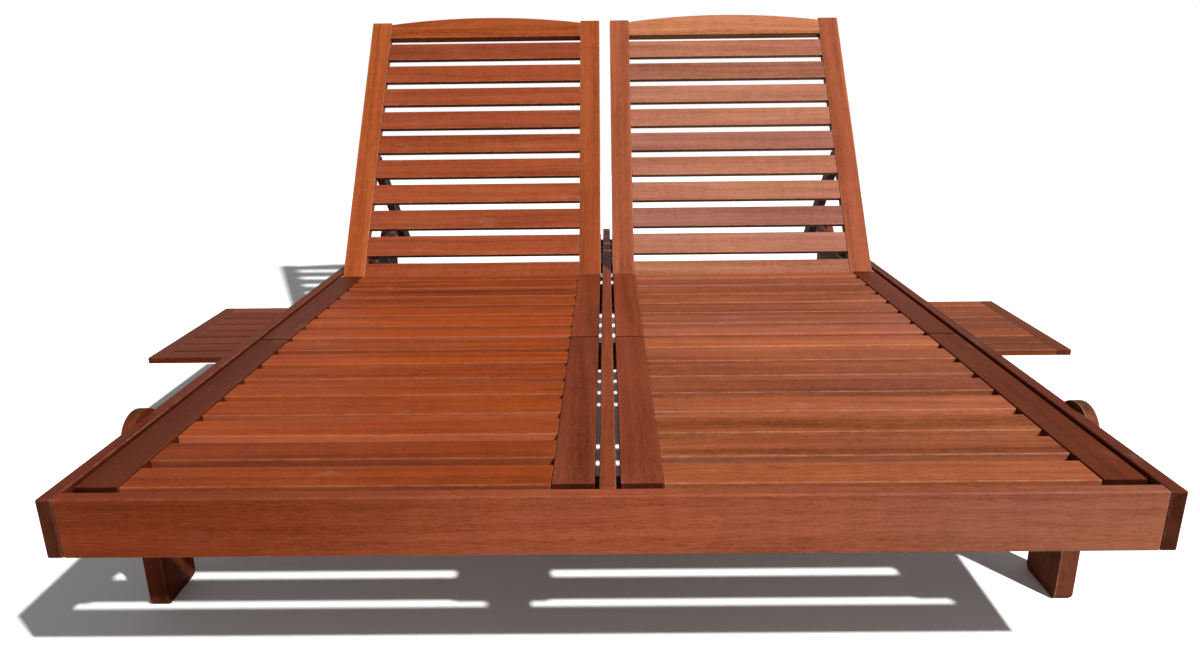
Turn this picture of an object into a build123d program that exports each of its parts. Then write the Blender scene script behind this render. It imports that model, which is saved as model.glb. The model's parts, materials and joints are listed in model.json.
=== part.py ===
from build123d import *
import math
import os

# Double chaise lounger in bare hardwood, in millimetres. X runs across the bed, Y from the foot
# end to the head end and Z up. Lengths along the bed are given from the front face of the front
# rail, and the finished pieces are moved so that the origin lies under the middle of the bed.

# Frame
bed_width = 1300
bed_length = 1780
rail_top = 280
rail_height = 76
side_rail_thickness = 19
centre_rail_thickness = 20
centre_rail_to_rear = 119
front_rail_thickness = 18
cross_rail_thickness = 19
cross_rail_height = 28
edge_rounding = 1.6
rail_rounding = 2.4
largest_rounding_share = 0.45

# Legs
leg_width = 85
leg_thickness = 27
leg_housing_depth = 10
leg_rise = 9
leg_foot_rounding = 9
leg_edge_rounding = 3
front_leg_middle = 243
rear_leg_to_rear = 133

# Bed boards and slats
board_width = 51
board_thickness = 18
board_drop = 3.5
outer_board_gap = 3.5
inner_board_gap = 5
board_front_gap = 20
leg_section_length = 565
section_gap = 6
stile_end_gap = 2
slat_width = 52
slat_pitch = 72.5
slat_thickness = 12
slat_drop = 2
least_slat_width = 20
leg_slat_margin = 1.5
seat_slat_margin = 9
section_end_margin = 1

# Bearers under the boards
front_bearer_setback = 62
front_bearer_depth = 24
bearer_height = 40
bearer_depth = 36
seat_bearer_inset = 44

# Backrest
back_angle = 50.8
pivot_to_rear = 676
pivot_below_rail_top = 14.5
stile_width = 51
stile_thickness = 22
outer_stile_gap = 7
inner_stile_gap = 4
stile_horn = 6
top_rail_start = 709
top_rail_width = 45
top_rail_rise = 20
top_rail_thickness = 20
top_slat_gap = 19
back_slat_tail = 8

# Prop behind the backrest and its racks
prop_pivot_up_stile = 345
prop_pivot_depth = 21
prop_arm_width = 36
prop_arm_thickness = 20
prop_arm_side_gap = 0.5
outer_block_width = 15.5
inner_block_width = 13.5
block_to_rack = 1.5
prop_block_length = 46
prop_block_extra = 18
prop_bar_radius = 11
bar_end_gap = 6
rack_thickness = 18
rack_height = 37
rack_front_tail = 158
rack_rear_tail = 40
rack_clearance = 0.6
notch_radius = 12
notch_depth = 6
notch_pitch = 44
notches_ahead = 3
notches_behind = 0

# Side trays and their guides
tray_reach = 269
tray_overlap = 131
tray_depth = 367
tray_past_pivot = 7
tray_thickness = 12
tray_below_rail = 8
tray_board_width = 30
tray_slat_count = 8
tray_slat_gap = 6
guide_end_gap = 5
guide_depth = 36
guide_height = 28
groove_depth = 8
groove_clearance = 0.4

# Fasteners
pivot_bolt_radius = 4
pivot_fit = 0.05
pivot_bolt_reach = 38
bolt_head_radius = 8
bolt_head_height = 4.5
spacer_radius = 9
spacer_play = 0.3
leg_bolt_radius = 4
leg_bolt_spacing = 34
leg_bolt_nut_height = 3
frame_bolt_radius = 3
frame_bolt_length = 62
frame_bolt_head_radius = 5.5
frame_bolt_head_height = 4
frame_bolt_spacing = 38

# What follows from the sizes above
half_width = bed_width / 2
rail_bottom = rail_top - rail_height
rail_middle = rail_top - rail_height / 2
bay_outer = half_width - side_rail_thickness
bay_inner = centre_rail_thickness / 2
board_top = rail_top - board_drop
board_bottom = board_top - board_thickness
slat_top = board_top - slat_drop
outer_board = (bay_outer - outer_board_gap - board_width, bay_outer - outer_board_gap)
inner_board = (bay_inner + inner_board_gap, bay_inner + inner_board_gap + board_width)
leg_section = (front_rail_thickness + board_front_gap,
               front_rail_thickness + board_front_gap + leg_section_length)
front_bearer_middle = front_rail_thickness + front_bearer_setback
pivot_height = rail_top - pivot_below_rail_top
pivot_from_front = bed_length - pivot_to_rear
centre_rail_end = bed_length - centre_rail_to_rear
rear_leg_middle = bed_length - rear_leg_to_rear
stile_face = stile_thickness / 2
seat_section = (leg_section[1] + section_gap, pivot_from_front - stile_face - stile_end_gap)
seat_bearer_middle = seat_section[1] - seat_bearer_inset
outer_stile = (bay_outer - outer_stile_gap - stile_width, bay_outer - outer_stile_gap)
inner_stile = (bay_inner + inner_stile_gap, bay_inner + inner_stile_gap + stile_width)
prop_pivot_drop = stile_face + prop_pivot_depth
prop_length = math.hypot(prop_pivot_up_stile, prop_pivot_drop)
prop_lean = back_angle - math.degrees(math.atan2(prop_pivot_drop, prop_pivot_up_stile))
bar_from_front = pivot_from_front + 2 * prop_length * math.cos(math.radians(prop_lean))
rack_top = pivot_height - prop_bar_radius - rack_clearance
rack_span = (bar_from_front - notches_ahead * notch_pitch - rack_front_tail,
             bar_from_front + notches_behind * notch_pitch + rack_rear_tail)
top_rail_end = top_rail_start + top_rail_width
stile_length = top_rail_end + stile_horn
back_slat_top = top_rail_start - top_slat_gap
leg_outer = half_width + leg_thickness - leg_housing_depth
leg_bolt_upper = rail_middle + leg_bolt_spacing / 2
leg_bolt_lower = rail_middle - leg_bolt_spacing / 2
tray_edge = half_width + tray_reach
tray_inner_edge = half_width - tray_overlap
tray_rear = pivot_from_front + tray_past_pivot
tray_front = tray_rear - tray_depth
tray_top = rail_bottom - tray_below_rail
tray_bottom = tray_top - tray_thickness


def plank(x_span, y_span, z_span, rounding=edge_rounding):
    """A straight board between three pairs of limits, with its edges eased."""
    spans = (x_span, y_span, z_span)
    middle = [(low + high) / 2 for low, high in spans]
    sizes = [high - low for low, high in spans]
    board = Pos(*middle) * Box(*sizes)
    return fillet(board.edges(), min(rounding, largest_rounding_share * min(sizes)))


def rod(x_span, y, z, radius):
    """A round bar along X."""
    low, high = x_span
    return Pos((low + high) / 2, y, z) * Rot(0, 90, 0) * Cylinder(radius, high - low)


def mirrored(shape):
    return mirror(shape, about=Plane.YZ)


def in_back(shape):
    """Moves a piece from the flat backrest, pivot at the origin, to the raised backrest."""
    return Pos(0, pivot_from_front, pivot_height) * Rot(back_angle, 0, 0) * shape


def bolt(face, reach, y, z, radius, head_radius, head_height, inward=-1):
    """A bolt along X with its head on the given face."""
    shaft = rod(sorted((face, face + inward * reach)), y, z, radius)
    head = rod(sorted((face, face - inward * head_height)), y, z, head_radius)
    return shaft + head


def frame_bolt_places():
    """Middles in Y and Z of the bolts through one side rail into the pieces that meet it."""
    front = front_rail_thickness / 2
    rear = centre_rail_end + cross_rail_thickness / 2
    cross_middle = rail_bottom + cross_rail_height / 2
    bearer_middle = board_bottom - bearer_height / 2
    places = [(front, rail_middle + frame_bolt_spacing / 2), (front, rail_middle - frame_bolt_spacing / 2),
              (rear, cross_middle)]
    for middle in (front_bearer_middle, section_middle(), seat_bearer_middle):
        places.append((middle, bearer_middle))
    return places


def section_middle():
    return (leg_section[1] + seat_section[0]) / 2


def frame_bolts():
    """Bolts with sunk heads, flush with the outside of the right side rail."""
    face = half_width - frame_bolt_head_height
    return [bolt(face, frame_bolt_length, y, z, frame_bolt_radius, frame_bolt_head_radius,
                 frame_bolt_head_height) for y, z in frame_bolt_places()]


def leg_bolts():
    """Two bolts through each leg and the side rail on the right, with a nut inside the rail."""
    reach = leg_outer - bay_outer
    bolts = []
    for middle in (front_leg_middle, rear_leg_middle):
        for height in (leg_bolt_upper, leg_bolt_lower):
            nut = rod((bay_outer - leg_bolt_nut_height, bay_outer), middle, height, bolt_head_radius)
            bolts.append(bolt(leg_outer, reach, middle, height, leg_bolt_radius, bolt_head_radius,
                              bolt_head_height) + nut)
    return bolts


def pivot_bolt():
    """The bolt that carries the outer stile of the right backrest in the side rail."""
    reach = half_width - outer_stile[1] + pivot_bolt_reach
    return bolt(half_width, reach, pivot_from_front, pivot_height, pivot_bolt_radius,
                bolt_head_radius, bolt_head_height)


def pivot_rod():
    """The rod through the centre rail that carries the inner stiles of both backrests."""
    end = inner_stile[0] + pivot_bolt_reach
    return rod((-end, end), pivot_from_front, pivot_height, pivot_bolt_radius)


def pivot_hole():
    """A clear hole round the pivot line through both stiles of a flat backrest."""
    return rod((0, half_width), 0, 0, pivot_bolt_radius + pivot_fit)


def spacers():
    """Rings on the pivots between the stiles and the rails."""
    outer = rod((outer_stile[1] + spacer_play, bay_outer), pivot_from_front, pivot_height, spacer_radius)
    inner = rod((bay_inner, inner_stile[0] - spacer_play), pivot_from_front, pivot_height, spacer_radius)
    return [outer - pivot_bolt(), inner - pivot_rod()]


def side_rail():
    rail = plank((bay_outer, half_width), (0, bed_length), (rail_bottom, rail_top), rail_rounding)
    for fastener in frame_bolts() + leg_bolts() + [pivot_bolt()]:
        rail -= fastener
    return rail


def centre_rail():
    rail = plank((-bay_inner, bay_inner), (front_rail_thickness, centre_rail_end),
                 (rail_bottom, rail_top), rail_rounding)
    return rail - pivot_rod()


def cross_board(y_span, z_span, rounding):
    """A board from side rail to side rail, drilled at both ends for the frame bolts."""
    board = plank((-bay_outer, bay_outer), y_span, z_span, rounding)
    for fastener in frame_bolts():
        board = board - fastener - mirrored(fastener)
    return board


def front_rail():
    return cross_board((0, front_rail_thickness), (rail_bottom, rail_top), rail_rounding)


def rear_cross_rail():
    return cross_board((centre_rail_end, centre_rail_end + cross_rail_thickness),
                       (rail_bottom, rail_bottom + cross_rail_height), edge_rounding)


def leg(middle):
    """A board leg with a half-round top, housed over the outside of the right side rail."""
    top_centre = rail_top + leg_rise - leg_width / 2
    outline = Pos(0, top_centre / 2) * Rectangle(leg_width, top_centre)
    outline = fillet(outline.vertices().sort_by(Axis.Y)[:2], leg_foot_rounding)
    outline += Pos(0, top_centre) * Circle(leg_width / 2)
    inner_face = leg_outer - leg_thickness
    board = extrude(Plane.YZ.offset(inner_face) * Pos(middle, 0) * outline, leg_thickness)
    board = fillet(board.faces().sort_by(Axis.X)[-1].edges(), leg_edge_rounding)
    housing_height = rail_height + leg_rise
    housing = Pos(inner_face + leg_housing_depth / 2, middle, rail_bottom + housing_height / 2) * Box(
        leg_housing_depth, leg_width, housing_height)
    board -= housing
    for fastener in leg_bolts():
        board -= fastener
    return board


def bearer(middle, depth=bearer_depth):
    """A bar between a side rail and the centre rail, under the boards of one side."""
    board = plank((bay_inner, bay_outer), (middle - depth / 2, middle + depth / 2),
                  (board_bottom - bearer_height, board_bottom))
    for fastener in frame_bolts():
        board -= fastener
    return board


def bed_slats(section, margin):
    """As many slats as one bed section holds between its boards; the last stops inside its end."""
    slats = []
    front = section[0] + margin
    end = section[1] - section_end_margin
    while front + least_slat_width <= end:
        slats.append(plank((inner_board[1], outer_board[0]), (front, min(front + slat_width, end)),
                           (slat_top - slat_thickness, slat_top)))
        front += slat_pitch
    return slats


def rack(x_span):
    """A ledger with round notches for the prop's crossbar in its top edge."""
    ledger = plank(x_span, rack_span, (rack_top - rack_height, rack_top))
    for step in range(-notches_ahead, notches_behind + 1):
        ledger -= rod((0, half_width), bar_from_front + step * notch_pitch,
                      rack_top + notch_radius - notch_depth, notch_radius)
    return ledger


def tray_guide(y_inner, facing):
    """A bar under the rails; the groove in its inner side holds one edge of both trays."""
    y_span = sorted((y_inner, y_inner - facing * guide_depth))
    bar = plank((guide_end_gap - half_width, half_width - guide_end_gap), y_span,
                (rail_bottom - guide_height, rail_bottom))
    groove_bottom = y_inner - facing * (groove_depth + groove_clearance)
    groove = Pos(0, (y_inner + groove_bottom) / 2, (tray_top + tray_bottom) / 2) * Box(
        bed_width, groove_depth + groove_clearance, tray_thickness + 2 * groove_clearance)
    return bar - groove


def stile(x_span):
    """A stile of the flat backrest, half round about the pivot at its lower end."""
    board = plank(x_span, (-stile_face, stile_length), (-stile_face, stile_face))
    low, high = x_span
    square_end = Pos((low + high) / 2, -stile_face / 2, 0) * Box(stile_width, stile_face, stile_thickness)
    return board - (square_end - rod(x_span, 0, 0, stile_face)) - pivot_hole()


def top_rail():
    """The arched rail between the tops of the stiles, flush with their front."""
    left, right = inner_stile[1], outer_stile[0]
    outline = make_face(
        Polyline((left, top_rail_end), (left, top_rail_start), (right, top_rail_start), (right, top_rail_end))
        + ThreePointArc((left, top_rail_end), ((left + right) / 2, top_rail_end + top_rail_rise),
                        (right, top_rail_end)))
    board = extrude(Plane.XY.offset(stile_face - top_rail_thickness) * outline, top_rail_thickness)
    return fillet(board.edges(), edge_rounding)


def back_slats():
    """Slats down to just past the pivot, where the last one is cut narrower."""
    face = stile_face - slat_drop
    slats = []
    top = back_slat_top
    while top - least_slat_width >= -back_slat_tail:
        bottom = max(top - slat_width, -back_slat_tail)
        slats.append(plank((inner_stile[1], outer_stile[0]), (bottom, top), (face - slat_thickness, face)))
        top -= slat_pitch
    return slats


def arm_spans():
    """Limits in X of the blocks and arms of one prop: outer side first, then inner."""
    outer_end = bay_outer - rack_thickness - block_to_rack
    outer_block = (outer_end - outer_block_width, outer_end)
    inner_start = bay_inner + rack_thickness + block_to_rack
    inner_block = (inner_start, inner_start + inner_block_width)
    outer_arm_edge = outer_block[0] - prop_arm_side_gap
    inner_arm_edge = inner_block[1] + prop_arm_side_gap
    return [(outer_block, (outer_arm_edge - prop_arm_thickness, outer_arm_edge)),
            (inner_block, (inner_arm_edge, inner_arm_edge + prop_arm_thickness))]


def prop_bolt(block, arm):
    """A bolt through a prop arm into its block, with the head on the arm's free side."""
    if arm[0] > block[0]:
        face, inward = arm[1] + spacer_play, -1
    else:
        face, inward = arm[0] - spacer_play, 1
    reach = prop_arm_thickness + prop_arm_side_gap + spacer_play + block[1] - block[0]
    return bolt(face, reach, prop_pivot_up_stile, -prop_pivot_drop, pivot_bolt_radius,
                bolt_head_radius, bolt_head_height, inward)


def prop_block(block, arm):
    middle = prop_pivot_up_stile
    piece = plank(block, (middle - prop_block_length / 2, middle + prop_block_length / 2),
                  (-prop_pivot_drop - prop_block_extra, -stile_face))
    return piece - prop_bolt(block, arm)


def prop_arm(arm):
    """An arm in the raised backrest's place, from its pivot down to the crossbar."""
    outline = SlotCenterToCenter(prop_length, prop_arm_width)
    low, high = arm
    bar = extrude(Plane.YZ.offset(low) * Pos(prop_length / 2, 0) * outline, high - low)
    bar = fillet(bar.edges(), edge_rounding)
    bar -= rod(arm, 0, 0, pivot_bolt_radius + pivot_fit)
    bar -= rod(arm, prop_length, 0, prop_bar_radius)
    return at_prop_pivot(Rot(-prop_lean, 0, 0) * bar)


def at_prop_pivot(shape):
    """Puts a shape with its origin on the prop's pivot where that pivot is when raised."""
    lift = math.radians(prop_lean)
    return Pos(0, pivot_from_front + prop_length * math.cos(lift),
               pivot_height + prop_length * math.sin(lift)) * shape


def prop_crossbar():
    return rod((bay_inner + bar_end_gap, bay_outer - bar_end_gap), bar_from_front, pivot_height,
               prop_bar_radius)


def tray_board(outer_edge):
    return plank((outer_edge - tray_board_width, outer_edge), (tray_front, tray_rear),
                 (tray_bottom, tray_top))


def tray_slats():
    room = tray_rear - tray_front + tray_slat_gap
    pitch = room / tray_slat_count
    inner_end = tray_inner_edge + tray_board_width
    slats = []
    for index in range(tray_slat_count):
        front = tray_front + index * pitch
        slats.append(plank((inner_end, tray_edge - tray_board_width), (front, front + pitch - tray_slat_gap),
                           (tray_bottom, tray_top)))
    return slats


def frame_parts():
    """Pieces of the frame that aren't one to a side."""
    front_bearer = bearer(front_bearer_middle, front_bearer_depth)
    right_bolts = leg_bolts()
    right_frame_bolts = frame_bolts()
    return {
        "centre_rail": centre_rail(),
        "front_rail": front_rail(),
        "rear_cross_rail": rear_cross_rail(),
        "front_bearers": [front_bearer, mirrored(front_bearer)],
        "tray_guide_front": tray_guide(tray_front + groove_depth, 1),
        "tray_guide_rear": tray_guide(tray_rear - groove_depth, -1),
        "leg_bolts": right_bolts + [mirrored(piece) for piece in right_bolts],
        "frame_bolts": right_frame_bolts + [mirrored(piece) for piece in right_frame_bolts],
        "back_pivot_bolts": [pivot_bolt(), mirrored(pivot_bolt()), pivot_rod()],
        "pivot_spacers": spacers() + [mirrored(piece) for piece in spacers()],
    }


def right_parts():
    """Pieces of the right half; the left half mirrors them."""
    (outer_block, outer_arm), (inner_block, inner_arm) = arm_spans()
    boards = (board_bottom, board_top)
    return {
        "side_rail": side_rail(),
        "leg_front": leg(front_leg_middle),
        "leg_rear": leg(rear_leg_middle),
        "seam_bearer": bearer(section_middle()),
        "seat_bearer": bearer(seat_bearer_middle),
        "rack_outer": rack((bay_outer - rack_thickness, bay_outer)),
        "rack_centre": rack((bay_inner, bay_inner + rack_thickness)),
        "leg_board_outer": plank(outer_board, leg_section, boards),
        "leg_board_inner": plank(inner_board, leg_section, boards),
        "seat_board_outer": plank(outer_board, seat_section, boards),
        "seat_board_inner": plank(inner_board, seat_section, boards),
        "leg_slats": bed_slats(leg_section, leg_slat_margin),
        "seat_slats": bed_slats(seat_section, seat_slat_margin),
        "back_stile_outer": in_back(stile(outer_stile)),
        "back_stile_inner": in_back(stile(inner_stile)),
        "back_top_rail": in_back(top_rail()),
        "back_slats": [in_back(slat) for slat in back_slats()],
        "prop_blocks": [in_back(prop_block(outer_block, outer_arm)), in_back(prop_block(inner_block, inner_arm))],
        "prop_bolts": [in_back(prop_bolt(outer_block, outer_arm)), in_back(prop_bolt(inner_block, inner_arm))],
        "prop_arm_outer": prop_arm(outer_arm),
        "prop_arm_inner": prop_arm(inner_arm),
        "prop_crossbar": prop_crossbar(),
        "tray_board_outer": tray_board(tray_edge),
        "tray_board_inner": tray_board(tray_inner_edge + tray_board_width),
        "tray_slats": tray_slats(),
    }


def save(name, shape):
    """Writes one node, moved so that the origin lies under the middle of the bed."""
    pieces = shape if isinstance(shape, list) else [shape]
    solids = [solid for piece in pieces for solid in (Pos(0, -bed_length / 2, 0) * piece).solids()]
    export_step(Compound(children=solids) if len(solids) > 1 else solids[0], f"parts/{name}.step")


def main():
    os.makedirs("parts", exist_ok=True)
    for name, shape in frame_parts().items():
        save(name, shape)
    for name, shape in right_parts().items():
        save(f"{name}_right", shape)
        pieces = shape if isinstance(shape, list) else [shape]
        save(f"{name}_left", [mirrored(piece) for piece in pieces])


main()
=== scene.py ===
import json
import math

import bpy
from mathutils import Matrix, Vector


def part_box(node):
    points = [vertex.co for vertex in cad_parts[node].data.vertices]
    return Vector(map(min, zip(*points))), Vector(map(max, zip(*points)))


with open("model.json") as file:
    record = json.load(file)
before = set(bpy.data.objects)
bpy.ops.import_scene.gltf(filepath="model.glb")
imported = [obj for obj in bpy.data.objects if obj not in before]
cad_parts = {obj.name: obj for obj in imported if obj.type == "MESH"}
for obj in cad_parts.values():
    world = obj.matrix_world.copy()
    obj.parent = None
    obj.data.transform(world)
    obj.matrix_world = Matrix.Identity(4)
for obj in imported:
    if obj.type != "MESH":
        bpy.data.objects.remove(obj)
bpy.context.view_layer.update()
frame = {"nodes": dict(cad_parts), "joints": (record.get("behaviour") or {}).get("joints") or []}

bl_info = {
    "name": "Double chaise lounger",
    "version": (1, 0, 0),
    "blender": (4, 5, 0),
    "location": "3D View > Sidebar > Lounger",
    "description": "Gives the lounger its oiled hardwood and steel, and sets the floor, light and camera",
    "category": "Object",
}

SIDES = ("left", "right")
ORIGIN = (0.0, 0.0, 0.0)
WHITE = (1.0, 1.0, 1.0, 1.0)

# Turns that bring the grain of a piece onto the pattern's own length, X
ACROSS_BED = (0.0, 0.0, 0.0)
ALONG_BED = (0.0, 0.0, math.radians(-90))
UPRIGHT = (0.0, math.radians(90), 0.0)

# Slats, in metres: the step from one to the next and the gap between two
SLAT_STEP = 0.0725
SLAT_GAP = 0.0205
TRAY_SLATS = 8
TRAY_GAP = 0.006

# Backrests, in metres up from the hinge: the slats' top, and the prop's pivot, then how far back it lies
BACK_SLAT_TOP = 0.690
PROP_PIVOT_UP = 0.345
PROP_PIVOT_DROP = 0.032

# Start and step of the boards in a row; where a node isn't a row of slats, one board fills the whole of it
WHOLE = (-50.0, 100.0)

# What the end grain keeps of a board's colour
RAIL_ENDS = (0.62, 0.92, 1.12)
BOARD_ENDS = (0.42, 0.42, 0.46)
TRAY_ENDS = (0.90, 0.95, 1.05)

# Which cut of the wood a piece has, or the first board of a list, and the step to the list's next board
SEED_STEP = 1.37
SEEDS = {
    "front_rail": 3.0, "side_rails": 11.0, "centre_rail": 13.0, "rear_cross_rail": 15.0,
    "legs_left": 21.0, "legs_right": 25.0,
    "outer_boards": 2287.0, "inner_boards": 2718.0,
    "leg_slats_left": 394.0, "leg_slats_right": 2972.0,
    "seat_slats_left": 81.0, "seat_slats_right": 2044.0,
    "back_frame_left": 51.0, "back_frame_right": 57.0,
    "back_top_rail_left": 53.0, "back_top_rail_right": 59.0,
    "back_slats_left": 4415.0, "back_slats_right": 70.0,
    "prop_crossbars": 81.0, "racks": 85.0, "prop_blocks": 91.0, "prop_arms": 95.0, "bearers": 101.0,
    "tray_boards_left": 111.0, "tray_boards_right": 121.0,
    "tray_slats_left": 2309.0, "tray_slats_right": 1651.0,
}

# How the wood of a piece differs from the plain one, whose other levels are properties: how far boards vary,
# how much painted light lifts their front faces, what the ends keep of the colour, and whether the tone
# drifts along it and a painted sheen pales its right end
STYLES = {
    "plain": {"variety": 0.6, "painted_front_light": 0.0, "end_tint": RAIL_ENDS, "drift_and_sheen": False},
    "front_rail": {"variety": 0.2, "figure": 0.26, "wear_and_highlight": 0.9, "drift_and_sheen": True},
    # Worn edges also carry painted highlight lines, so they are strong on pieces in the light and faint on
    # those in shade
    "legs_left": {"wear_and_highlight": 0.12},
    "legs_right": {"wear_and_highlight": 0.72},
    "bed_boards": {"fibre": 0.50, "wear_and_highlight": 0.12, "end_tint": BOARD_ENDS},
    "bed_slats_left": {"variety": 0.9, "wear_and_highlight": 0.50, "painted_front_light": 0.70},
    "bed_slats_right": {"variety": 1.3, "wear_and_highlight": 0.85, "painted_front_light": 0.70},
    "back_slats_left": {"variety": 0.5, "figure": 0.28},
    "back_slats_right": {"variety": 0.7, "figure": 0.28},
    "tray_boards": {"wear_and_highlight": 0.30, "end_tint": TRAY_ENDS},
    "tray_slats_left": {"variety": 0.9, "wear_and_highlight": 0.10},
    "tray_slats_right": {"variety": 0.9, "wear_and_highlight": 0.90},
}
# The right top rail has its own paler tone, which carries a painted sheen
TOP_RAIL_TONES = {"left": "frame_left", "right": "top_right_sheen"}

# Layers of noise: waves to the metre along the grain and across it, octaves, and how rough the octaves are
LAYERS = {
    "sway": (2.2, 6.0, 1.0, 0.50),
    "ribbons": (0.9, 58.0, 2.0, 0.50),
    "bands": (4.5, 210.0, 2.0, 0.60),
    "fibres": (30.0, 430.0, 2.0, 0.65),
    "flecks": (120.0, 480.0, 1.0, 0.50),
    "streaks": (3.2, 34.0, 2.0, 0.55),
    "cloud": (4.0, 12.0, 2.0, 0.50),
    "ripple": (55.0, 22.0, 1.0, 0.50),
    "shimmer": (2.6, 14.0, 1.0, 0.50),
    "worn_patches": (60.0, 60.0, 2.0, 0.60),
    "dust_patches": (9.0, 15.0, 3.0, 0.62),
    "dust_grit": (260.0, 260.0, 1.0, 0.50),
    "painted_shade_blotches": (35.0, 70.0, 2.0, 0.60),
    "steel_spots": (380.0, 380.0, 3.0, 0.65),
    "turning_marks": (300.0, 2600.0, 1.0, 0.50),
}

# Masks: the values at which each is empty and full, then what it gives there, if that isn't 0 and 1
MASKS = {
    "pores": (0.58, 0.78),
    "pores_in_ribbons": (0.30, 0.60, 0.55, 1.0),
    "golden": (0.46, 0.68),
    "streaks": (0.66, 0.80),
    "end_grain": (0.80, 0.97),
    "painted_front_light_mask": (-0.6, -0.9),
    "edge": (0.985, 0.90),
    "arris": (0.955, 0.85),
    "worn_patches": (0.34, 0.62, 0.20, 1.0),
    "dust_patches": (0.62, 0.80),
    "dust_grit": (0.25, 0.75, 0.55, 1.0),
    "dust_on_top": (0.1, 0.9, 0.25, 1.0),
    "hidden_from_sky": (0.70, 0.16),
    "painted_shade_blotches": (0.30, 0.65, 0.6, 1.0),
    "steel_spots": (0.5, 0.75),
    "rail_left": (0.0, -0.50),
    "rail_right": (0.0, 0.50),
}

# The grain, in metres: how far the pattern moves for a board whose number is 1, and how far it sways sideways
BOARD_SHIFT = (7.31, 3.17, 5.53)
SWAY_ACROSS = 0.030
SWAY_DEEP = -0.022

# How far each layer swings the level of the colour: ribbons and bands as parts of Figure, fibres as a part of
# Fibre, boards as a part of Variety, and the others as they are; then the lowest level that they can reach
RIBBON_SWING = 3.3
BAND_SWING = 1.4
FIBRE_SWING = 1.9
BOARD_SWING = 0.45
RIPPLE_SWING = 0.22
SHIMMER_SWING = 0.48
LOWEST_LEVEL = 0.25

# How far clouds swing the tone between warm and dusky
CLOUD_SWING = 0.8

# How fast red and blue follow the level, against green
RED_POWER = 0.85
BLUE_POWER = 1.35

# Factors that draw a board's second and third number from its first
LEVEL_DRAW = 17.0
PAINTED_LIGHT_DRAW = 31.0

# What streaks, pores, the painted shade in gaps and the front rail's left end leave of the colour, how strong
# streaks and pores are, and what golden wood and the rail's right end, for its painted sheen, are divided by
STREAK_TINT = (0.36, 0.26, 0.26, 1.0)
STREAK_DEPTH = 0.45
PORE_TINT = (0.48, 0.38, 0.36, 1.0)
PORE_DEPTH = 1.1
PAINTED_SHADE_TINT = (0.34, 0.27, 0.24, 1.0)
GOLDEN_DIVISOR = (1.0, 0.94, 1.0, 1.0)
RAIL_LEFT_TINT = (0.64, 0.50, 0.34, 1.0)
RAIL_RIGHT_SHEEN_DIVISOR = (1.0, 0.77, 0.62, 1.0)

# Colours of worn edges, which also carry painted highlight lines, and of dust, and the painted light that a
# front face gains
WORN_AND_HIGHLIGHT_COLOUR = (0.94, 0.53, 0.33, 1.0)
DUST_COLOUR = (0.56, 0.42, 0.30, 1.0)
PAINTED_FRONT_LIGHT_GAIN = (0.16, 0.068, 0.044, 1.0)

# What the wood throws back on the floor and on other wood: less red than it looks, as in the photograph
BOUNCE_MUTED = 0.65
BOUNCE_COLOUR = (0.12, 0.10, 0.092, 1.0)

# Roughness of the wood: plain, and what fibres, clouds, end grain and dust add to it
WOOD_ROUGHNESS = 0.52
FIBRE_ROUGHNESS = 0.16
CLOUD_ROUGHNESS = 0.10
END_ROUGHNESS = 0.20
DUST_ROUGHNESS = 0.5

# Gloss and bump of the wood; its arrises are polished by wear
WOOD_GLOSS = {"IOR": 1.48, "Specular IOR Level": 0.035, "Coat Roughness": 0.30}
WOOD_BUMP = {"Strength": 0.35, "Distance": 0.0004}
FIBRE_HEIGHT = 0.6
COAT_PER_WEAR = 1.4

# How far from a corner the worn and highlighted edges, and in a gap the painted shade, are looked for, in
# metres, and with how many rays
WOOD_EDGE_REACH = 0.0024
STEEL_EDGE_REACH = 0.0012
EDGE_SAMPLES = 4
PAINTED_SHADE_REACH = 0.022
PAINTED_SHADE_SAMPLES = 6

# Spots, rubbed edges and bump of the steel
STEEL_SPOT_COLOUR = (0.20, 0.16, 0.12, 1.0)
STEEL_SPOT_DEPTH = 0.6
STEEL_SPOT_ROUGHNESS = 0.25
STEEL_EDGE_COLOUR = (0.78, 0.77, 0.75, 1.0)
STEEL_EDGE_DEPTH = 0.5
STEEL_BUMP = {"Strength": 0.25, "Distance": 0.0002}

# Kinds of socket
FLOAT = "NodeSocketFloat"
VECTOR = "NodeSocketVector"
COLOUR = "NodeSocketColor"


def both_sides(*names):
    """The names of the nodes on the left and on the right."""
    return [f"{name}_{side}" for name in names for side in SIDES]


def joint(name):
    """The frame's own record of one joint."""
    return next(j for j in frame["joints"] if j["name"] == name)


def back_lean():
    """The lean of the raised backrests from flat, in radians, from where the props pivot on them."""
    prop = joint("prop_fold_right")["pos_m"]
    hinge = joint("recline_right")["pos_m"]
    flat = math.atan2(PROP_PIVOT_DROP, PROP_PIVOT_UP)
    return math.atan2(prop[2] - hinge[2], prop[1] - hinge[1]) + flat


def along_panel(lean):
    """The turn for boards that lean in the plane of Y and Z."""
    turn = Matrix.Rotation(math.radians(-90), 3, "Z") @ Matrix.Rotation(-lean, 3, "X")
    return tuple(turn.to_euler())


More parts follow.
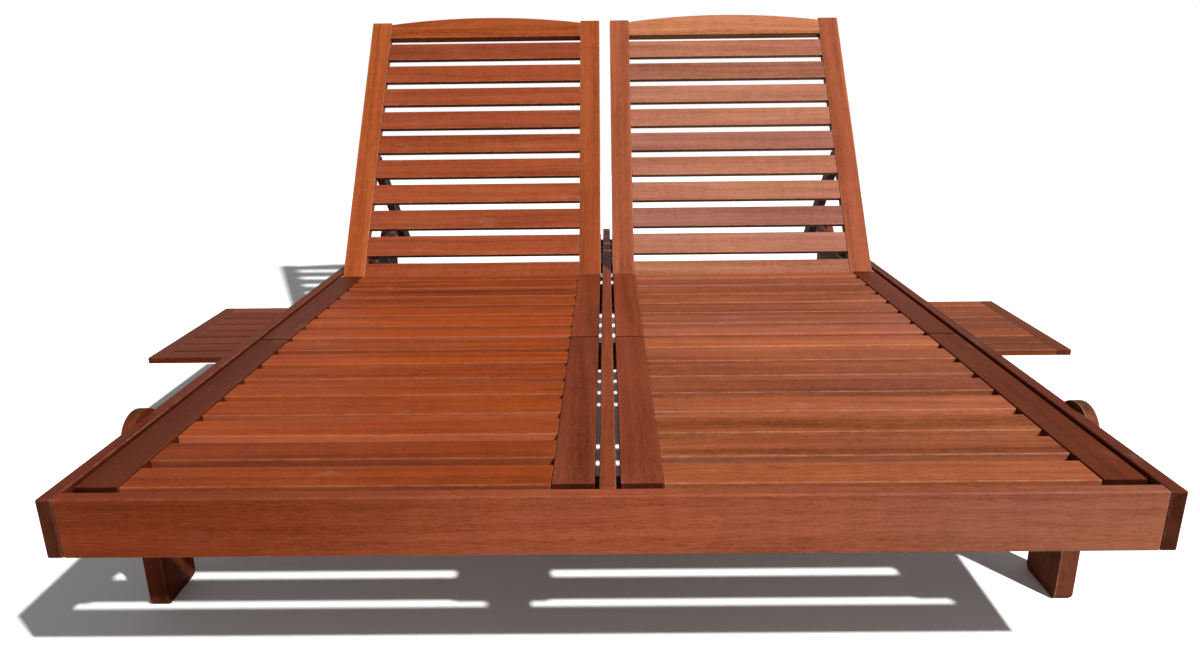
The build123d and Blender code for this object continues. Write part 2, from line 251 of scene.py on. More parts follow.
class NodeBuilder:
    """Adds nodes to a tree and joins them as they are made."""

    def __init__(self, tree):
        self.tree = tree

    def add(self, kind, inputs=None, **settings):
        node = self.tree.nodes.new(kind)
        for name, value in settings.items():
            setattr(node, name, value)
        for name, value in (inputs or {}).items():
            self.feed(node.inputs[name], value)
        return node

    def feed(self, socket, value):
        if isinstance(value, bpy.types.NodeSocket):
            self.tree.links.new(value, socket)
        else:
            socket.default_value = value

    def group(self, name, **values):
        """Places a node group; an underscore stands for the space in a socket's name."""
        node = self.add("ShaderNodeGroup", node_tree=bpy.data.node_groups[name])
        for label, value in values.items():
            self.feed(node.inputs[label.replace("_", " ")], value)
        return node.outputs

    def math(self, operation, *values, clamp=False):
        node = self.add("ShaderNodeMath", operation=operation, use_clamp=clamp)
        for socket, value in zip(node.inputs, values):
            self.feed(socket, value)
        return node.outputs[0]

    def swing(self, value, amount):
        """Turns a value from 0 to 1 into one that goes half of the amount to each side of 0."""
        return self.math("MULTIPLY", self.math("SUBTRACT", value, 0.5), amount)

    def vector(self, operation, *values):
        node = self.add("ShaderNodeVectorMath", operation=operation)
        for socket, value in zip(node.inputs, values):
            self.feed(socket, value)
        return node.outputs["Value" if operation == "DOT_PRODUCT" else "Vector"]

    def axis(self, vector, name):
        return self.add("ShaderNodeSeparateXYZ", {"Vector": vector}).outputs[name]

    def joined(self, **axes):
        return self.add("ShaderNodeCombineXYZ", axes).outputs["Vector"]

    def mix(self, factor, a, b, blend="MIX"):
        node = self.add("ShaderNodeMix", data_type="RGBA", blend_type=blend)
        self.feed(node.inputs["Factor"], factor)
        self.feed(node.inputs["A"], a)
        self.feed(node.inputs["B"], b)
        return node.outputs["Result"]

    def span(self, value, low, high, to_low=0.0, to_high=1.0):
        """Goes smoothly from to_low to to_high while the value goes from low to high."""
        node = self.add("ShaderNodeMapRange", {"Value": value, "From Min": low, "From Max": high,
                                               "To Min": to_low, "To Max": to_high},
                        interpolation_type="SMOOTHSTEP")
        return node.outputs["Result"]

    def mask(self, name, value):
        """One of the masks listed at the top, on the value that it is made from."""
        return self.span(value, *MASKS[name])

    def layer(self, name, place):
        """One of the layers of noise listed at the top, from 0 to 1, drawn out along X."""
        along, across, octaves, roughness = LAYERS[name]
        stretched = self.vector("MULTIPLY", place, (along, across, across))
        node = self.add("ShaderNodeTexNoise", {"Vector": stretched, "Scale": 1.0, "Detail": octaves,
                                               "Roughness": roughness})
        return node.outputs["Fac"]


def new_material(name):
    """An empty material and the builder of its nodes."""
    material = bpy.data.materials.new(name)
    material.use_nodes = True
    material.node_tree.nodes.clear()
    return material, NodeBuilder(material.node_tree)


def new_group(name, inputs, outputs):
    """Starts a shader node group, and gives its builder, what it is given and what it puts out."""
    tree = bpy.data.node_groups.new(name, "ShaderNodeTree")
    for label, kind, default in inputs:
        socket = tree.interface.new_socket(label, in_out="INPUT", socket_type=kind)
        socket.default_value = default
    for label, kind in outputs:
        tree.interface.new_socket(label, in_out="OUTPUT", socket_type=kind)
    build = NodeBuilder(tree)
    return build, tree.nodes.new("NodeGroupInput").outputs, tree.nodes.new("NodeGroupOutput").inputs


def board_number_group():
    """Gives every board of a row its own number from 0 to 1, by its place across the row."""
    inputs = (("Across", FLOAT, 0.0), ("Start", FLOAT, 0.0), ("Step", FLOAT, 1.0), ("Seed", FLOAT, 0.0))
    build, given, out = new_group("board_number", inputs, (("Board", FLOAT),))
    place = build.math("DIVIDE", build.math("SUBTRACT", given["Across"], given["Start"]), given["Step"])
    index = build.math("FLOOR", place)
    noise = build.add("ShaderNodeTexWhiteNoise", {"W": build.math("ADD", index, given["Seed"])},
                      noise_dimensions="1D")
    build.feed(out["Board"], noise.outputs["Value"])


def hardwood_grain_group():
    """Oiled red hardwood, its grain along X: ribbons, fine fibres, short dark pores and rare dark streaks."""
    inputs = (("Position", VECTOR, ORIGIN), ("Board", FLOAT, 0.5), ("Warm", COLOUR, (0.3, 0.07, 0.025, 1.0)),
              ("Dusky", COLOUR, (0.2, 0.05, 0.02, 1.0)), ("Variety", FLOAT, 0.6), ("Figure", FLOAT, 0.3),
              ("Fibre", FLOAT, 0.3), ("End", FLOAT, 0.0), ("End Tint", COLOUR, (*RAIL_ENDS, 1.0)))
    outputs = (("Color", COLOUR), ("Roughness", FLOAT), ("Height", FLOAT))
    build, given, out = new_group("hardwood_grain", inputs, outputs)

    def share(label, amount):
        return build.math("MULTIPLY", given[label], amount)

    shift = build.add("ShaderNodeVectorMath", {"Vector": BOARD_SHIFT, "Scale": given["Board"]},
                      operation="SCALE")
    place = build.vector("ADD", given["Position"], shift.outputs["Vector"])
    sway = build.layer("sway", place)
    bent = build.vector("ADD", place, build.joined(Y=build.swing(sway, SWAY_ACROSS),
                                                   Z=build.swing(sway, SWAY_DEEP)))
    ribbons, bands, fibres, flecks, streaks = (
        build.layer(name, bent) for name in ("ribbons", "bands", "fibres", "flecks", "streaks"))
    cloud, ripple, shimmer = (build.layer(name, place) for name in ("cloud", "ripple", "shimmer"))
    pores = build.math("MULTIPLY", build.mask("pores", flecks), build.mask("pores_in_ribbons", ribbons))

    lean = build.math("ADD", build.swing(given["Board"], given["Variety"]), 0.5)
    tone = build.math("ADD", lean, build.swing(cloud, CLOUD_SWING), clamp=True)
    colour = build.mix(tone, given["Warm"], given["Dusky"])
    second = build.math("FRACT", share("Board", LEVEL_DRAW))
    level = 1.0
    for part in (build.swing(ribbons, share("Figure", RIBBON_SWING)),
                 build.swing(bands, share("Figure", BAND_SWING)),
                 build.swing(fibres, share("Fibre", FIBRE_SWING)),
                 build.swing(flecks, share("Fibre", FIBRE_SWING)),
                 build.swing(ripple, RIPPLE_SWING),
                 build.swing(shimmer, SHIMMER_SWING),
                 build.swing(second, share("Variety", BOARD_SWING))):
        level = build.math("ADD", level, part)
    level = build.math("MAXIMUM", level, LOWEST_LEVEL)
    red = build.math("POWER", level, RED_POWER)
    blue = build.math("POWER", level, BLUE_POWER)
    colour = build.vector("MULTIPLY", colour, build.joined(X=red, Y=level, Z=blue))
    colour = build.mix(build.mask("golden", shimmer), colour, GOLDEN_DIVISOR, "DIVIDE")
    streak = build.math("MULTIPLY", build.mask("streaks", streaks), STREAK_DEPTH)
    colour = build.mix(streak, colour, STREAK_TINT, "MULTIPLY")
    depth = build.math("MULTIPLY", given["Fibre"], PORE_DEPTH, clamp=True)
    colour = build.mix(build.math("MULTIPLY", pores, depth), colour, PORE_TINT, "MULTIPLY")
    end_colour = build.vector("MULTIPLY", colour, given["End Tint"])
    build.feed(out["Color"], build.mix(given["End"], colour, end_colour))

    rough = build.math("ADD", WOOD_ROUGHNESS, build.swing(fibres, FIBRE_ROUGHNESS))
    rough = build.math("ADD", rough, build.swing(cloud, CLOUD_ROUGHNESS))
    build.feed(out["Roughness"], build.math("ADD", rough, share("End", END_ROUGHNESS)))
    build.feed(out["Height"], build.math("SUBTRACT", build.math("MULTIPLY", fibres, FIBRE_HEIGHT), pores))


def worn_edges_group():
    """Masks along corners: Arris is the corner, Edge the patches along it, which the wood paints paler as
    worn oil and highlight lines.
    """
    inputs = (("Reach", FLOAT, WOOD_EDGE_REACH), ("Position", VECTOR, ORIGIN))
    build, given, out = new_group("worn_edges", inputs, (("Arris", FLOAT), ("Edge", FLOAT)))
    geometry = build.add("ShaderNodeNewGeometry")
    rounded = build.add("ShaderNodeBevel", {"Radius": given["Reach"]}, samples=EDGE_SAMPLES)
    facing = build.vector("DOT_PRODUCT", rounded.outputs["Normal"], geometry.outputs["True Normal"])
    patch = build.mask("worn_patches", build.layer("worn_patches", given["Position"]))
    build.feed(out["Arris"], build.mask("arris", facing))
    build.feed(out["Edge"], build.math("MULTIPLY", build.mask("edge", facing), patch))


def dusty_bloom_group():
    """Soft pale patches where dust and dried water dull the oil, most on faces that look up."""
    inputs = (("Position", VECTOR, ORIGIN), ("Amount", FLOAT, 0.1))
    build, given, out = new_group("dusty_bloom", inputs, (("Bloom", FLOAT),))
    geometry = build.add("ShaderNodeNewGeometry")
    facing = build.mask("dust_on_top", build.axis(geometry.outputs["Normal"], "Z"))
    patch = build.mask("dust_patches", build.layer("dust_patches", given["Position"]))
    grit = build.mask("dust_grit", build.layer("dust_grit", given["Position"]))
    dust = build.math("MULTIPLY", build.math("MULTIPLY", patch, grit), facing)
    build.feed(out["Bloom"], build.math("MULTIPLY", dust, given["Amount"]))


def painted_crevice_shade_group():
    """Painted shade: a mask that is 1 deep in narrow gaps and corners, where less light reaches, broken into
    blotches.
    """
    inputs = (("Position", VECTOR, ORIGIN), ("Amount", FLOAT, 0.5))
    build, given, out = new_group("crevice_grime", inputs, (("Grime", FLOAT),))
    sky = build.add("ShaderNodeAmbientOcclusion", {"Distance": PAINTED_SHADE_REACH}, samples=PAINTED_SHADE_SAMPLES)
    blotches = build.mask("painted_shade_blotches", build.layer("painted_shade_blotches", given["Position"]))
    dirt = build.math("MULTIPLY", build.mask("hidden_from_sky", sky.outputs["AO"]), blotches)
    build.feed(out["Grime"], build.math("MULTIPLY", dirt, given["Amount"]))


def turned_to_grain(build, turn, hinge):
    """Place and normal on a piece, turned about its hinge so that its grain runs along X."""
    here = build.add("ShaderNodeTexCoord")
    for label, centre in (("Object", hinge), ("Normal", ORIGIN)):
        node = build.add("ShaderNodeVectorRotate", {"Vector": here.outputs[label], "Center": centre,
                                                    "Rotation": turn}, rotation_type="EULER_XYZ")
        yield node.outputs["Vector"]


def rail_drift_and_sheen(build, place, colour):
    """Deepens the colour towards the left end of the front rail, and paints a paler, pinker sheen towards the
    right end.
    """
    along = build.axis(place, "X")
    colour = build.mix(build.mask("rail_left", along), colour, RAIL_LEFT_TINT, "MULTIPLY")
    return build.mix(build.mask("rail_right", along), colour, RAIL_RIGHT_SHEEN_DIVISOR, "DIVIDE")


def hardwood(name, warm, dusky, turn, seed, cells, hinge, style):
    """The oiled hardwood of one piece; turn brings its grain onto X, and cells part it into its boards."""
    material, build = new_material(name)
    place, normal = turned_to_grain(build, turn, hinge)
    board = build.group("board_number", Across=build.axis(place, "Y"), Start=cells[0], Step=cells[1],
                        Seed=seed)["Board"]
    end = build.mask("end_grain", build.math("ABSOLUTE", build.axis(normal, "X")))
    grain = build.group("hardwood_grain", Position=place, Board=board, Warm=(*warm, 1.0), Dusky=(*dusky, 1.0),
                        Variety=style["variety"], Figure=style["figure"], Fibre=style["fibre"], End=end,
                        End_Tint=(*style["end_tint"], 1.0))
    edges = build.group("worn_edges", Reach=WOOD_EDGE_REACH, Position=place)
    bloom = build.group("dusty_bloom", Position=place, Amount=style["dust"])["Bloom"]
    grime = build.group("crevice_grime", Position=place, Amount=style["grime"])["Grime"]

    # Painted light: faces that look to the front are lifted paler, by a share that differs from board to
    # board
    third = build.math("FRACT", build.math("MULTIPLY", board, PAINTED_LIGHT_DRAW))
    painted_front_light = build.math("MULTIPLY", build.mask("painted_front_light_mask", build.axis(normal, "Y")),
                      build.math("MULTIPLY", third, style["painted_front_light"]))
    colour = build.mix(painted_front_light, grain["Color"], PAINTED_FRONT_LIGHT_GAIN, "ADD")
    # Painted sheen towards the right end of the front rail
    if style["drift_and_sheen"]:
        colour = rail_drift_and_sheen(build, place, colour)
    # Worn edges are painted paler: partly thinned oil, partly painted highlight lines along the lit corners
    colour = build.mix(build.math("MULTIPLY", edges["Edge"], style["wear_and_highlight"]), colour, WORN_AND_HIGHLIGHT_COLOUR)
    colour = build.mix(bloom, colour, DUST_COLOUR)
    # Painted shade: the colour is darkened deep in gaps and corners
    colour = build.mix(grime, colour, PAINTED_SHADE_TINT, "MULTIPLY")
    bounced = build.add("ShaderNodeLightPath").outputs["Is Diffuse Ray"]
    colour = build.mix(build.math("MULTIPLY", bounced, BOUNCE_MUTED), colour, BOUNCE_COLOUR)

    rough = build.math("ADD", grain["Roughness"], build.math("MULTIPLY", bloom, DUST_ROUGHNESS), clamp=True)
    bump = build.add("ShaderNodeBump", {**WOOD_BUMP, "Height": grain["Height"]})
    coat = build.math("MULTIPLY", edges["Arris"], style["wear_and_highlight"] * COAT_PER_WEAR, clamp=True)
    surface = build.add("ShaderNodeBsdfPrincipled", {
        "Base Color": colour, "Roughness": rough, "Normal": bump.outputs["Normal"], "Coat Weight": coat,
        **WOOD_GLOSS})
    build.add("ShaderNodeOutputMaterial", {"Surface": surface.outputs["BSDF"]})
    return material


def plated_steel(name, colour, roughness):
    """Zinc plated steel, a little dulled, with fine turning marks and darker spots."""
    material, build = new_material(name)
    here = build.add("ShaderNodeTexCoord").outputs["Object"]
    spots = build.mask("steel_spots", build.layer("steel_spots", here))
    edge = build.group("worn_edges", Reach=STEEL_EDGE_REACH, Position=here)["Edge"]
    tint = build.mix(build.math("MULTIPLY", spots, STEEL_SPOT_DEPTH), (*colour, 1.0), STEEL_SPOT_COLOUR)
    tint = build.mix(build.math("MULTIPLY", edge, STEEL_EDGE_DEPTH), tint, STEEL_EDGE_COLOUR)
    rough = build.math("ADD", roughness, build.math("MULTIPLY", spots, STEEL_SPOT_ROUGHNESS))
    bump = build.add("ShaderNodeBump", {**STEEL_BUMP, "Height": build.layer("turning_marks", here)})
    surface = build.add("ShaderNodeBsdfPrincipled", {
        "Base Color": tint, "Roughness": rough, "Normal": bump.outputs["Normal"], "Metallic": 1.0})
    build.add("ShaderNodeOutputMaterial", {"Surface": surface.outputs["BSDF"]})
    return material


def colour_property(label, description, default):
    return bpy.props.FloatVectorProperty(name=label, description=description, subtype="COLOR", size=3,
                                         min=0.0, max=1.0, default=default)


def share_property(label, description, default):
    return bpy.props.FloatProperty(name=label, description=description, subtype="FACTOR", min=0.0, max=1.0,
                                   default=default)


def strength_property(label, description, default):
    return bpy.props.FloatProperty(name=label, description=description, default=default)


def length_property(label, description, default):
    return bpy.props.FloatProperty(name=label, description=description, unit="LENGTH", default=default)


def place_property(label, description, default):
    return bpy.props.FloatVectorProperty(name=label, description=description, subtype="TRANSLATION",
                                         unit="LENGTH", size=3, default=default)


class LoungerWood(bpy.types.PropertyGroup):
    """Colours and grain of the hardwood."""
    front_rail: colour_property("Front rail", "Colour of the front rail", (0.405, 0.094, 0.034))
    side_rail: colour_property("Side rails", "Colour of the side rails", (0.152, 0.026, 0.008))
    centre_rail: colour_property("Centre rail", "Colour of the centre rail", (0.305, 0.062, 0.018))
    outer_board: colour_property("Outer boards", "Colour of the bed boards beside the side rails",
                                 (0.126, 0.021, 0.004))
    inner_board: colour_property("Inner boards", "Colour of the bed boards beside the centre rail",
                                 (0.250, 0.050, 0.016))
    slats_left: colour_property("Left slats", "Colour of the bed slats on the left", (0.385, 0.067, 0.0115))
    slats_right: colour_property("Right slats", "Colour of the bed slats on the right", (0.430, 0.114, 0.042))
    back_left: colour_property("Left back slats", "Colour of the left backrest's slats",
                               (0.350, 0.075, 0.024))
    # Painted sheen: the right back slats are paler and pinker than the left, as the main light's sheen on
    # them
    back_right: colour_property("Right back slats", "Colour of the right backrest's slats",
                                (0.406, 0.148, 0.080))
    frame_left: colour_property("Left back frame", "Colour of the left stiles and top rail",
                                (0.410, 0.090, 0.023))
    frame_right: colour_property("Right back frame", "Colour of the right stiles", (0.385, 0.098, 0.035))
    # Painted sheen: the right top rail is paler and pinker than the left one, as the light's sheen on it
    top_right_sheen: colour_property("Right top rail", "Colour of the right backrest's top rail",
                               (0.560, 0.205, 0.085))
    tray_slats_left: colour_property("Left tray slats", "Colour of the left tray's slats",
                                     (0.181, 0.034, 0.010))
    tray_slats_right: colour_property("Right tray slats", "Colour of the right tray's slats",
                                      (0.287, 0.066, 0.016))
    tray_boards_left: colour_property("Left tray boards", "Colour of the left tray's boards",
                                      (0.145, 0.028, 0.009))
    tray_boards_right: colour_property("Right tray boards", "Colour of the right tray's boards",
                                       (0.140, 0.027, 0.008))
    # Painted shade: the left legs are darker and redder than the right ones, as they stand in shade
    leg_left: colour_property("Left legs", "Colour of the left legs", (0.170, 0.034, 0.011))
    leg_right: colour_property("Right legs", "Colour of the right legs", (0.235, 0.066, 0.026))
    under: colour_property("Hidden wood", "Colour of the rear rail, bearers, tray guides, racks and props",
                           (0.110, 0.045, 0.027))
    dusk: colour_property("Dusky tint", "What darker, pinker boards have of their colour", (0.64, 0.62, 0.86))
    figure: share_property("Figure", "How much the ribbons of the grain show", 0.36)
    fibre: share_property("Fibre", "How much the fine fibres of the grain show", 0.40)
    # Partly wear, partly painted highlight lines on the edges
    wear_and_highlight: share_property("Worn edges", "How far the edges are lightened by wear", 0.72)
    dust: share_property("Dust", "How much pale dust lies on the wood", 0.20)
    # Painted shade: how dark gaps and corners are painted
    grime: share_property("Grime", "How dark the dirt in gaps and corners is", 0.85)


class LoungerSteel(bpy.types.PropertyGroup):
    """Colour and gloss of the bolts."""
    plate: colour_property("Plating", "Colour of the plated steel", (0.46, 0.45, 0.43))
    roughness: share_property("Roughness", "How dull the plating is", 0.36)


class LoungerStage(bpy.types.PropertyGroup):
    """Floor, light and camera."""
    floor: colour_property("Floor", "Colour of the floor as other surfaces see it", (0.62, 0.62, 0.62))
    floor_seen: bpy.props.FloatVectorProperty(name="Floor in view", subtype="COLOR", size=3, min=0.0,
                                              description="How white the camera sees the floor",
                                              default=(1.60, 1.62, 1.62))
    floor_size: length_property("Floor size", "Width of the floor", 9.0)
    key_strength: strength_property("Key light", "Strength of the main light", 46.0)
    key_radius: length_property("Key radius", "Radius of the main lamp", 0.13)
    key_place: place_property("Key place", "Where the main lamp stands", (3.46, -4.52, 6.0))
    front_strength: strength_property("Front light", "Strength of the soft front light", 0.3)
    front_size: length_property("Front light's size", "Width of the soft front light", 2.0)
    front_place: place_property("Front place", "Where the front light stands", (0.5, -5.5, 1.6))
    fill_strength: strength_property("Fill light", "Strength of the light all round", 0.13)
    camera_place: place_property("Camera place", "Where the camera stands", (0.0024, -1.7488, 0.7402))
    camera_turn: bpy.props.FloatVectorProperty(
        name="Camera turn", description="Camera's pitch from looking down, its roll and its heading",
        subtype="EULER", size=3,
        default=(math.radians(90 - 17.20), math.radians(-0.717), math.radians(0.585)))
    camera_lens: bpy.props.FloatProperty(name="Lens", description="Focal length on a 36 mm wide sensor",
                                         unit="CAMERA", default=25.52)
    camera_shift: bpy.props.FloatProperty(name="Shift", description="Upward shift as a share of the width",
                                          default=0.0019)


def finish(context, node, tone, turn, seed, cells=WHOLE, hinge=ORIGIN, style="plain"):
    """Gives one node its own cut of a wood; cells give every slat of a row its own cut."""
    wood = context.scene.lounger_wood
    levels = {name: getattr(wood, name) for name in ("figure", "fibre", "wear_and_highlight", "dust", "grime")}
    colour = getattr(wood, tone)
    dusky = [part * tint for part, tint in zip(colour, wood.dusk)]
    material = hardwood(f"{node}_wood", colour, dusky, turn, seed, cells, hinge,
                        {**STYLES["plain"], **levels, **STYLES[style]})
    set_material(node, material)


def finish_boards(context, nodes, tone, turn, first_seed, style="plain"):
    """Gives each single board of a list its own cut of one wood."""
    for index, node in enumerate(nodes):
        finish(context, node, tone, turn, first_seed + SEED_STEP * index, style=style)


def set_material(node, material):
    for slot in frame["nodes"][node].material_slots:
        slot.material = material


class LOUNGER_OT_finish_rails(bpy.types.Operator):
    """Finishes the front, side, centre and rear rails"""
    bl_idname = "lounger.finish_rails"
    bl_label = "Finish rails"

    def execute(self, context):
        finish(context, "front_rail", "front_rail", ACROSS_BED, SEEDS["front_rail"], style="front_rail")
        finish_boards(context, both_sides("side_rail"), "side_rail", ALONG_BED, SEEDS["side_rails"])
        finish(context, "centre_rail", "centre_rail", ALONG_BED, SEEDS["centre_rail"])
        finish(context, "rear_cross_rail", "under", ACROSS_BED, SEEDS["rear_cross_rail"])
        return {"FINISHED"}


class LOUNGER_OT_finish_legs(bpy.types.Operator):
    """Finishes the four board legs"""
    bl_idname = "lounger.finish_legs"
    bl_label = "Finish legs"

    def execute(self, context):
        for side in SIDES:
            finish_boards(context, [f"leg_front_{side}", f"leg_rear_{side}"], f"leg_{side}", UPRIGHT,
                          SEEDS[f"legs_{side}"], style=f"legs_{side}")
        return {"FINISHED"}


class LOUNGER_OT_finish_bed_boards(bpy.types.Operator):
    """Finishes the boards that carry the bed slats"""
    bl_idname = "lounger.finish_bed_boards"
    bl_label = "Finish bed boards"

    def execute(self, context):
        for place in ("outer", "inner"):
            finish_boards(context, both_sides(f"leg_board_{place}", f"seat_board_{place}"), f"{place}_board",
                          ALONG_BED, SEEDS[f"{place}_boards"], style="bed_boards")
        return {"FINISHED"}


class LOUNGER_OT_finish_bed_slats(bpy.types.Operator):
    """Finishes the slats of the four bed sections"""
    bl_idname = "lounger.finish_bed_slats"
    bl_label = "Finish bed slats"

    def execute(self, context):
        for side in SIDES:
            for node in (f"leg_slats_{side}", f"seat_slats_{side}"):
                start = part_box(node)[0].y - SLAT_GAP / 2
                finish(context, node, f"slats_{side}", ACROSS_BED, SEEDS[node], (start, SLAT_STEP),
                       style=f"bed_slats_{side}")
        return {"FINISHED"}


class LOUNGER_OT_finish_back_frames(bpy.types.Operator):
    """Finishes the stiles and top rails of the backrests"""
    bl_idname = "lounger.finish_back_frames"
    bl_label = "Finish back frames"

    def execute(self, context):
        for side in SIDES:
            finish_boards(context, [f"back_stile_outer_{side}", f"back_stile_inner_{side}"], f"frame_{side}",
                          along_panel(back_lean()), SEEDS[f"back_frame_{side}"])
            finish(context, f"back_top_rail_{side}", TOP_RAIL_TONES[side], (-back_lean(), 0.0, 0.0),
                   SEEDS[f"back_top_rail_{side}"])
        return {"FINISHED"}


class LOUNGER_OT_finish_back_slats(bpy.types.Operator):
    """Finishes the slats of the backrests"""
    bl_idname = "lounger.finish_back_slats"
    bl_label = "Finish back slats"

    def execute(self, context):
        for side in SIDES:
            node = f"back_slats_{side}"
            hinge = tuple(joint(f"recline_{side}")["pos_m"])
            start = hinge[1] + BACK_SLAT_TOP + SLAT_GAP / 2
            finish(context, node, f"back_{side}", (-back_lean(), 0.0, 0.0), SEEDS[node], (start, SLAT_STEP),
                   hinge, style=node)
        return {"FINISHED"}


class LOUNGER_OT_finish_props(bpy.types.Operator):
    """Finishes the prop blocks, arms and crossbars and their racks"""
    bl_idname = "lounger.finish_props"
    bl_label = "Finish props and racks"

    def execute(self, context):
        finish_boards(context, both_sides("prop_crossbar"), "under", ACROSS_BED, SEEDS["prop_crossbars"])
        finish_boards(context, both_sides("rack_outer", "rack_centre"), "under", ALONG_BED, SEEDS["racks"])
        finish_boards(context, both_sides("prop_blocks"), "under", along_panel(back_lean()),
                      SEEDS["prop_blocks"])
        finish_boards(context, both_sides("prop_arm_outer", "prop_arm_inner"), "under",
                      along_panel(-back_lean()), SEEDS["prop_arms"])
        return {"FINISHED"}


class LOUNGER_OT_finish_bearers(bpy.types.Operator):
    """Finishes the bearers under the bed and the guides of the trays"""
    bl_idname = "lounger.finish_bearers"
    bl_label = "Finish bearers and guides"

    def execute(self, context):
        single = ["front_bearers", "tray_guide_front", "tray_guide_rear"]
        finish_boards(context, single + both_sides("seam_bearer", "seat_bearer"), "under", ACROSS_BED,
                      SEEDS["bearers"])
        return {"FINISHED"}


class LOUNGER_OT_finish_trays(bpy.types.Operator):
    """Finishes the boards and slats of the side trays"""
    bl_idname = "lounger.finish_trays"
    bl_label = "Finish trays"

    def execute(self, context):
        for side in SIDES:
            boards = f"tray_boards_{side}"
            slats = f"tray_slats_{side}"
            finish_boards(context, [f"tray_board_outer_{side}", f"tray_board_inner_{side}"], boards,
                          ALONG_BED, SEEDS[boards], style="tray_boards")
            low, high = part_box(f"tray_slats_{side}")
            step = (high.y - low.y + TRAY_GAP) / TRAY_SLATS
            finish(context, slats, slats, ACROSS_BED, SEEDS[slats], (low.y - TRAY_GAP / 2, step), style=slats)
        return {"FINISHED"}


class LOUNGER_OT_finish_fasteners(bpy.types.Operator):
    """Finishes the bolts and the spacers on the pivots"""
    bl_idname = "lounger.finish_fasteners"
    bl_label = "Finish fasteners"

    def execute(self, context):
        steel = context.scene.lounger_steel
        material = plated_steel("plated_steel", steel.plate, steel.roughness)
        single = ["leg_bolts", "frame_bolts", "back_pivot_bolts", "pivot_spacers"]
        for node in single + both_sides("prop_bolts"):
            set_material(node, material)
        return {"FINISHED"}


def floor_material(stage):
    """A matt pale floor; the camera sees it whiter, and mirrored light sees it white."""
    material, build = new_material("pale_floor")
    path = build.add("ShaderNodeLightPath").outputs
    mirrored = build.math("MAXIMUM", path["Is Glossy Ray"], path["Is Transmission Ray"])
    colour = build.mix(mirrored, (*stage.floor, 1.0), WHITE)
    colour = build.mix(path["Is Camera Ray"], colour, (*stage.floor_seen, 1.0))
    surface = build.add("ShaderNodeBsdfDiffuse", {"Color": colour})
    build.add("ShaderNodeOutputMaterial", {"Surface": surface.outputs["BSDF"]})
    return material


def studio_lamp(context, name, kind, place, strength):
    """A lamp whose light spreads but doesn't fade across the scene."""
    lamp = bpy.data.lights.new(name, kind)
    lamp.energy = strength
    lamp.use_nodes = True
    nodes = lamp.node_tree.nodes
    even = nodes.new("ShaderNodeLightFalloff")
    even.inputs["Strength"].default_value = 1.0
    lamp.node_tree.links.new(even.outputs["Constant"], nodes["Emission"].inputs["Strength"])
    stand = bpy.data.objects.new(name, lamp)
    stand.location = place
    stand.rotation_euler = (-Vector(place)).to_track_quat("-Z", "Y").to_euler()
    context.scene.collection.objects.link(stand)
    return lamp


def set_world(context, stage):
    """Even light from all round; the camera and glossy surfaces see plain white."""
    world = bpy.data.worlds.new("studio")
    context.scene.world = world
    world.use_nodes = True
    world.node_tree.nodes.clear()
    build = NodeBuilder(world.node_tree)
    path = build.add("ShaderNodeLightPath").outputs
    seen = build.math("MAXIMUM", path["Is Camera Ray"],
                      build.math("MAXIMUM", path["Is Glossy Ray"], path["Is Transmission Ray"]))
    strength = build.span(seen, 0.0, 1.0, stage.fill_strength, 1.0)
    light = build.add("ShaderNodeBackground", {"Color": WHITE, "Strength": strength})
    build.add("ShaderNodeOutputWorld", {"Surface": light.outputs["Background"]})


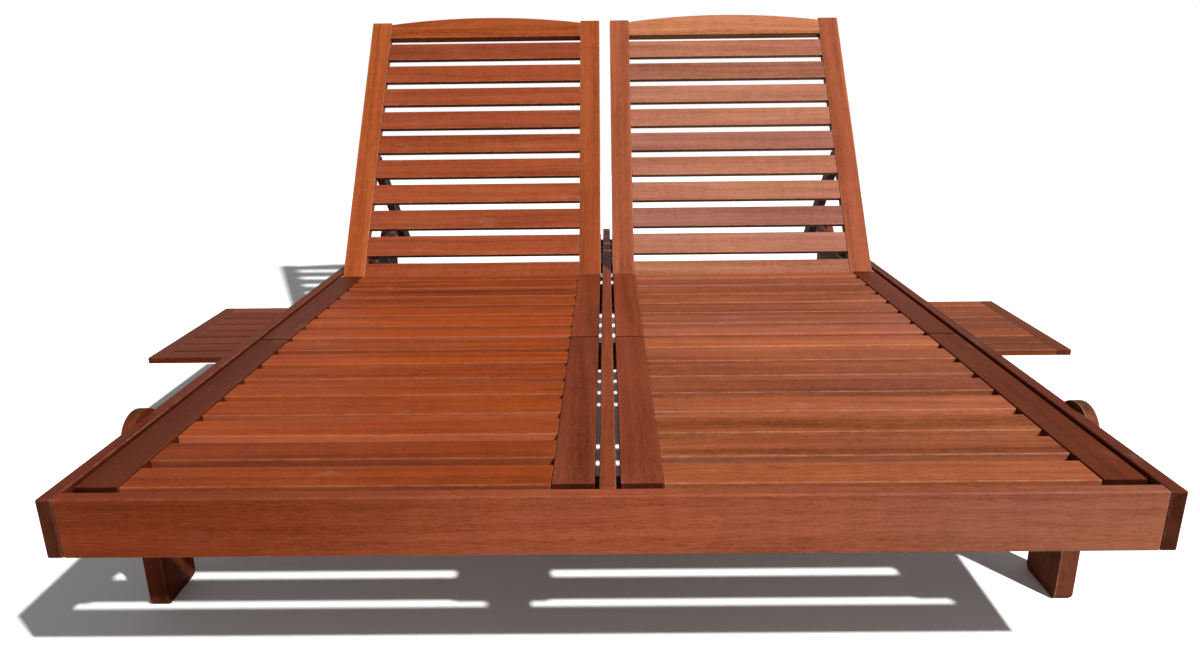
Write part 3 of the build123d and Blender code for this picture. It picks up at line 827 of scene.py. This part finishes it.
class LOUNGER_OT_set_stage(bpy.types.Operator):
    """Lays the floor and sets the light and the camera"""
    bl_idname = "lounger.set_stage"
    bl_label = "Set floor, light and camera"

    def execute(self, context):
        stage = context.scene.lounger_stage
        half = stage.floor_size / 2
        mesh = bpy.data.meshes.new("floor")
        mesh.from_pydata([(-half, -half, 0.0), (half, -half, 0.0), (half, half, 0.0), (-half, half, 0.0)], [],
                         [(0, 1, 2, 3)])
        floor = bpy.data.objects.new("floor", mesh)
        mesh.materials.append(floor_material(stage))
        context.scene.collection.objects.link(floor)

        key = studio_lamp(context, "key_light", "POINT", stage.key_place, stage.key_strength)
        key.shadow_soft_size = stage.key_radius
        front = studio_lamp(context, "front_light", "AREA", stage.front_place, stage.front_strength)
        front.size = stage.front_size
        set_world(context, stage)

        lens = bpy.data.cameras.new("camera")
        lens.lens = stage.camera_lens
        lens.shift_y = stage.camera_shift
        camera = bpy.data.objects.new("camera", lens)
        pitch, roll, heading = stage.camera_turn
        turn = (Matrix.Rotation(heading, 4, "Z") @ Matrix.Rotation(pitch, 4, "X")
                @ Matrix.Rotation(roll, 4, "Z"))
        camera.matrix_world = Matrix.Translation(stage.camera_place) @ turn
        context.scene.collection.objects.link(camera)
        context.scene.camera = camera
        context.scene.view_settings.view_transform = "Standard"
        return {"FINISHED"}


GROUP_MAKERS = (board_number_group, hardwood_grain_group, worn_edges_group, dusty_bloom_group,
                painted_crevice_shade_group)

PROPERTY_GROUPS = {"lounger_wood": LoungerWood, "lounger_steel": LoungerSteel, "lounger_stage": LoungerStage}

OPERATORS = (
    LOUNGER_OT_finish_rails, LOUNGER_OT_finish_legs, LOUNGER_OT_finish_bed_boards,
    LOUNGER_OT_finish_bed_slats, LOUNGER_OT_finish_back_frames, LOUNGER_OT_finish_back_slats,
    LOUNGER_OT_finish_props, LOUNGER_OT_finish_bearers, LOUNGER_OT_finish_trays,
    LOUNGER_OT_finish_fasteners, LOUNGER_OT_set_stage,
)


class LOUNGER_PT_sidebar(bpy.types.Panel):
    """Lists the lounger's colours and the steps that dress it"""
    bl_idname = "LOUNGER_PT_sidebar"
    bl_label = "Double chaise lounger"
    bl_space_type = "VIEW_3D"
    bl_region_type = "UI"
    bl_category = "Lounger"

    def draw(self, context):
        for name, group in PROPERTY_GROUPS.items():
            box = self.layout.box()
            box.label(text=group.__doc__)
            for field in group.__annotations__:
                box.prop(getattr(context.scene, name), field)
        for operator in OPERATORS:
            self.layout.operator(operator.bl_idname)


def register():
    for item in (*PROPERTY_GROUPS.values(), *OPERATORS, LOUNGER_PT_sidebar):
        bpy.utils.register_class(item)
    for name, group in PROPERTY_GROUPS.items():
        setattr(bpy.types.Scene, name, bpy.props.PointerProperty(type=group))


def unregister():
    for name in PROPERTY_GROUPS:
        delattr(bpy.types.Scene, name)
    for item in reversed((*PROPERTY_GROUPS.values(), *OPERATORS, LOUNGER_PT_sidebar)):
        bpy.utils.unregister_class(item)


def main():
    register()
    for make_group in GROUP_MAKERS:
        make_group()
    for operator in OPERATORS:
        family, name = operator.bl_idname.split(".")
        getattr(getattr(bpy.ops, family), name)()


if __name__ == "__main__":
    main()
